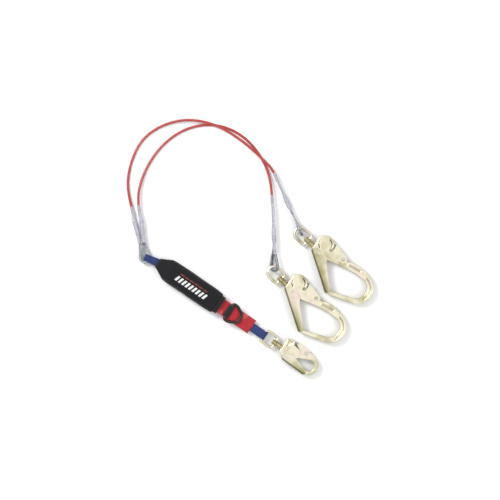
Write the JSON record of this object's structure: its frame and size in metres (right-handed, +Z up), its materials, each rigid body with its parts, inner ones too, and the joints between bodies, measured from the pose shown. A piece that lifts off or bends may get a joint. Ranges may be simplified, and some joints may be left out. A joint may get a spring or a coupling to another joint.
{
  "type": "shock absorbing lanyard",
  "caption": "Twin-leg fall-arrest lanyard: red cable legs with thimble eyes, covered energy absorber, D-ring, large gated hooks and a snap hook.",
  "frame": {"origin": "on the floor under the middle of the webbing, absorber and hooks, without the cable legs", "axes": "+Z up, +X to the hooks' side, +Y towards the cable legs' bight"},
  "size_m": [0.6772, 0.7036, 0.038],
  "materials": {
    "cover_fabric": "woven",
    "black_webbing": "woven",
    "tear_webbing": "woven",
    "red_webbing": "woven",
    "blue_webbing": "woven",
    "black_steel": "satin",
    "red_coating": "glossy",
    "galvanised": "satin",
    "wire_rope": "satin",
    "ferrule_alloy": "satin",
    "clear_sleeve": "glossy",
    "spring_steel": "satin",
    "olive_zinc": "satin",
    "yellow_zinc": "satin"
  },
  "bodies": {
    "root": {"pack_cover": "cover_fabric", "tear_web_pack": "tear_webbing", "cover_collar": "black_webbing", "red_strap": "red_webbing", "leg_web_loop": "blue_webbing", "hook_web_loop": "blue_webbing", "d_ring_keeper": "black_webbing", "cable_leg_a": "red_coating", "cable_leg_b": "red_coating", "pack_a_thimble": "galvanised", "pack_a_eye_rope": "wire_rope", "pack_a_ferrule": "ferrule_alloy", "pack_a_clear_sleeve": "clear_sleeve", "pack_b_thimble": "galvanised", "pack_b_eye_rope": "wire_rope", "pack_b_ferrule": "ferrule_alloy", "pack_b_clear_sleeve": "clear_sleeve", "left_hook_thimble": "galvanised", "left_hook_eye_rope": "wire_rope", "left_hook_ferrule": "ferrule_alloy", "left_hook_clear_sleeve": "clear_sleeve", "right_hook_thimble": "galvanised", "right_hook_eye_rope": "wire_rope", "right_hook_ferrule": "ferrule_alloy", "right_hook_clear_sleeve": "clear_sleeve"},
    "d_ring": {"d_ring": "black_steel"},
    "left_bail": {"left_swivel_bail": "yellow_zinc"},
    "left_hook": {"left_swivel_barrel": "olive_zinc", "left_swivel_stud": "olive_zinc", "left_hook_body": "yellow_zinc", "left_gate_rivet": "yellow_zinc", "left_gate_spring": "spring_steel", "left_lever_rivet": "yellow_zinc", "left_lever_spring": "spring_steel", "left_stop_rivet": "yellow_zinc"},
    "left_gate": {"left_gate": "yellow_zinc"},
    "left_lever": {"left_lock_lever": "yellow_zinc"},
    "right_bail": {"right_swivel_bail": "yellow_zinc"},
    "right_hook": {"right_swivel_barrel": "olive_zinc", "right_swivel_stud": "olive_zinc", "right_hook_body": "yellow_zinc", "right_gate_rivet": "yellow_zinc", "right_gate_spring": "spring_steel", "right_lever_rivet": "yellow_zinc", "right_lever_spring": "spring_steel", "right_stop_rivet": "yellow_zinc"},
    "right_gate": {"right_gate": "yellow_zinc"},
    "right_lever": {"right_lock_lever": "yellow_zinc"},
    "snap_bail": {"snap_swivel_bail": "yellow_zinc"},
    "snap_hook": {"snap_swivel_barrel": "olive_zinc", "snap_swivel_stud": "olive_zinc", "snap_hook_body": "yellow_zinc", "snap_gate_rivet": "yellow_zinc", "snap_gate_spring": "spring_steel", "snap_lever_rivet": "yellow_zinc", "snap_lever_spring": "spring_steel"},
    "snap_gate": {"snap_gate": "yellow_zinc"},
    "snap_lever": {"snap_lock_lever": "yellow_zinc"}
  },
  "joints": [
    {"name": "d_ring_hinge", "type": "hinge", "parent": "root", "child": "d_ring", "pos_m": [-0.08082, -0.0289, 0.02541], "axis": [-0.565, -0.8251, 0], "range_deg": [0, 135]},
    {"name": "left_bail_swing", "type": "hinge", "parent": "root", "child": "left_bail", "pos_m": [0.04353, 0.07667, 0.0138], "axis": [0, 0, 1], "range_deg": [-8, 2]},
    {"name": "left_swivel", "type": "hinge", "parent": "left_bail", "child": "left_hook", "pos_m": [0.0716, 0.0486, 0.0138], "axis": [0.7071, -0.7071, 0], "continuous": true},
    {"name": "left_gate_hinge", "type": "hinge", "parent": "left_hook", "child": "left_gate", "pos_m": [0.09423, 0.02456, 0.0138], "axis": [0, 0, 1], "range_deg": [0, 42], "stiffness_Nm_per_rad": 0.08, "springref_deg": -20.05},
    {"name": "left_lever_hinge", "type": "hinge", "parent": "left_hook", "child": "left_lever", "pos_m": [0.15928, 0.00617, 0.0138], "axis": [0, 0, 1], "range_deg": [0, 8], "stiffness_Nm_per_rad": 0.15, "springref_deg": -17.19},
    {"name": "right_bail_swing", "type": "hinge", "parent": "root", "child": "right_bail", "pos_m": [0.11733, 0.18317, 0.0138], "axis": [0, 0, 1], "range_deg": [-2, 35]},
    {"name": "right_swivel", "type": "hinge", "parent": "right_bail", "child": "right_hook", "pos_m": [0.1454, 0.1551, 0.0138], "axis": [0.7071, -0.7071, 0], "continuous": true},
    {"name": "right_gate_hinge", "type": "hinge", "parent": "right_hook", "child": "right_gate", "pos_m": [0.16803, 0.13106, 0.0138], "axis": [0, 0, 1], "range_deg": [0, 42], "stiffness_Nm_per_rad": 0.08, "springref_deg": -20.05},
    {"name": "right_lever_hinge", "type": "hinge", "parent": "right_hook", "child": "right_lever", "pos_m": [0.23308, 0.11267, 0.0138], "axis": [0, 0, 1], "range_deg": [0, 8], "stiffness_Nm_per_rad": 0.15, "springref_deg": -17.19},
    {"name": "snap_bail_swing", "type": "hinge", "parent": "root", "child": "snap_bail", "pos_m": [0.01489, -0.09444, 0.0138], "axis": [-0.565, -0.8251, 0], "range_deg": [0, 90]},
    {"name": "snap_swivel", "type": "hinge", "parent": "snap_bail", "child": "snap_hook", "pos_m": [0.05697, -0.12325, 0.0138], "axis": [0.8251, -0.565, 0], "continuous": true},
    {"name": "snap_gate_hinge", "type": "hinge", "parent": "snap_hook", "child": "snap_gate", "pos_m": [0.07877, -0.15514, 0.0138], "axis": [0, 0, 1], "range_deg": [0, 17], "stiffness_Nm_per_rad": 0.08, "springref_deg": -20.05},
    {"name": "snap_lever_hinge", "type": "hinge", "parent": "snap_hook", "child": "snap_lever", "pos_m": [0.13215, -0.14443, 0.0138], "axis": [0, 0, 1], "range_deg": [0, 8], "stiffness_Nm_per_rad": 0.15, "springref_deg": -17.19}
  ]
}
